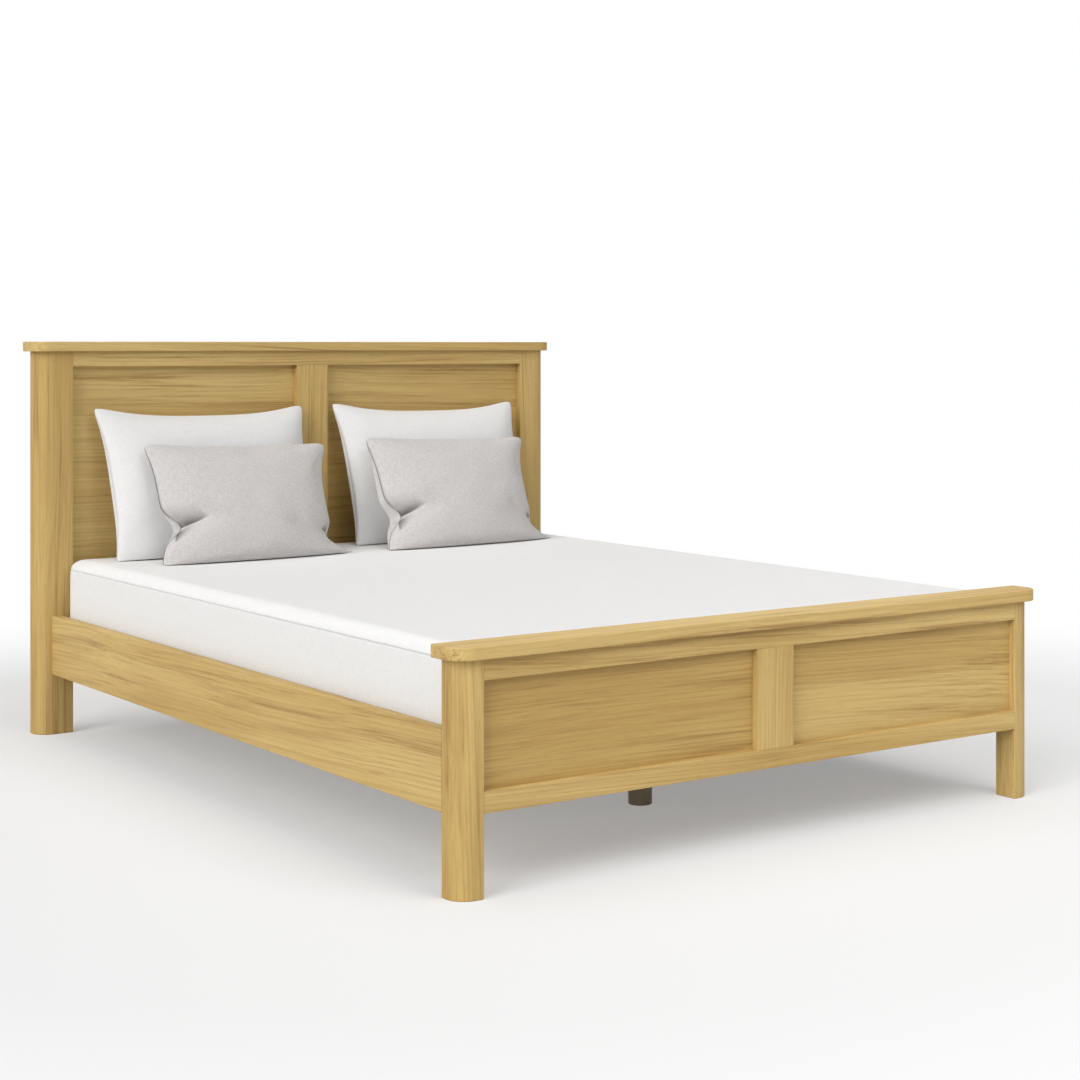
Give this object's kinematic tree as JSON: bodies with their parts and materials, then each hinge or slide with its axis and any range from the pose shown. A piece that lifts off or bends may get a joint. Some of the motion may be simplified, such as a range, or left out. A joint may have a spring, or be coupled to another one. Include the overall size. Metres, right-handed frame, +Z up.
{
  "type": "panel bed",
  "caption": "Queen panel bed: framed headboard and low footboard with capped rails, side rails, slats on a centre beam with screw-in legs, mattress, pillows and cushions.",
  "frame": {"origin": "on the floor, under the middle of the overall length and width", "axes": "+Z up, +Y from the footboard to the headboard, +X to the right of someone who looks from the foot to the head"},
  "size_m": [1.71, 2.2, 1.08],
  "materials": {
    "oak": "satin",
    "pine": "matte",
    "dowel_wood": "matte",
    "bracket_steel": "satin",
    "fastener_steel": "satin",
    "leg_plastic": "matte",
    "mattress_fabric": "matte",
    "pillow_cotton": "matte",
    "cushion_linen": "matte"
  },
  "bodies": {
    "bed_frame": {"beam_hanger_foot": "bracket_steel", "beam_hanger_head": "bracket_steel", "bracket_bolts": "fastener_steel", "bracket_inserts": "fastener_steel", "centre_beam": "pine", "corner_bracket_foot_left": "bracket_steel", "corner_bracket_foot_right": "bracket_steel", "corner_bracket_head_left": "bracket_steel", "corner_bracket_head_right": "bracket_steel", "footboard_bottom_rail": "oak", "footboard_cap": "oak", "footboard_centre_stile": "oak", "footboard_dowels": "dowel_wood", "footboard_panel_left": "oak", "footboard_panel_right": "oak", "footboard_post_left": "oak", "footboard_post_right": "oak", "footboard_top_rail": "oak", "headboard_bottom_rail": "oak", "headboard_cap": "oak", "headboard_centre_stile": "oak", "headboard_dowels": "dowel_wood", "headboard_panel_left": "oak", "headboard_panel_right": "oak", "headboard_post_left": "oak", "headboard_post_right": "oak", "headboard_top_rail": "oak", "leg_inserts": "fastener_steel", "side_rail_left": "oak", "side_rail_right": "oak", "slat_01": "pine", "slat_02": "pine", "slat_03": "pine", "slat_04": "pine", "slat_05": "pine", "slat_06": "pine", "slat_07": "pine", "slat_08": "pine", "slat_09": "pine", "slat_10": "pine", "slat_11": "pine", "slat_12": "pine", "slat_13": "pine", "slat_14": "pine", "slat_ledger_left": "pine", "slat_ledger_right": "pine", "wood_screws": "fastener_steel"},
    "mattress": {"mattress": "mattress_fabric"},
    "pillow_left": {"pillow_left": "pillow_cotton"},
    "pillow_right": {"pillow_right": "pillow_cotton"},
    "cushion_left": {"cushion_left": "cushion_linen"},
    "cushion_right": {"cushion_right": "cushion_linen"},
    "leg_front": {"centre_leg_front": "leg_plastic", "leg_stud_front": "fastener_steel"},
    "leg_middle": {"centre_leg_middle": "leg_plastic", "leg_stud_middle": "fastener_steel"},
    "leg_rear": {"centre_leg_rear": "leg_plastic", "leg_stud_rear": "fastener_steel"}
  },
  "joints": [
    {"name": "mattress_lift", "type": "slide", "parent": "bed_frame", "child": "mattress", "axis": [0, 0, 1], "range_m": [0, 0.15]},
    {"name": "pillow_left_lift", "type": "slide", "parent": "mattress", "child": "pillow_left", "axis": [0, -0.6, 0.8], "range_m": [0, 0.3]},
    {"name": "cushion_left_lift", "type": "slide", "parent": "pillow_left", "child": "cushion_left", "axis": [0, -0.6, 0.8], "range_m": [0, 0.3]},
    {"name": "pillow_right_lift", "type": "slide", "parent": "mattress", "child": "pillow_right", "axis": [0, -0.6, 0.8], "range_m": [0, 0.3]},
    {"name": "cushion_right_lift", "type": "slide", "parent": "pillow_right", "child": "cushion_right", "axis": [0, -0.6, 0.8], "range_m": [0, 0.3]},
    {"name": "leg_front_screw_out", "type": "slide", "parent": "bed_frame", "child": "leg_front", "axis": [0, 0, -1], "range_m": [0, 0.01]},
    {"name": "leg_middle_screw_out", "type": "slide", "parent": "bed_frame", "child": "leg_middle", "axis": [0, 0, -1], "range_m": [0, 0.01]},
    {"name": "leg_rear_screw_out", "type": "slide", "parent": "bed_frame", "child": "leg_rear", "axis": [0, 0, -1], "range_m": [0, 0.01]}
  ]
}
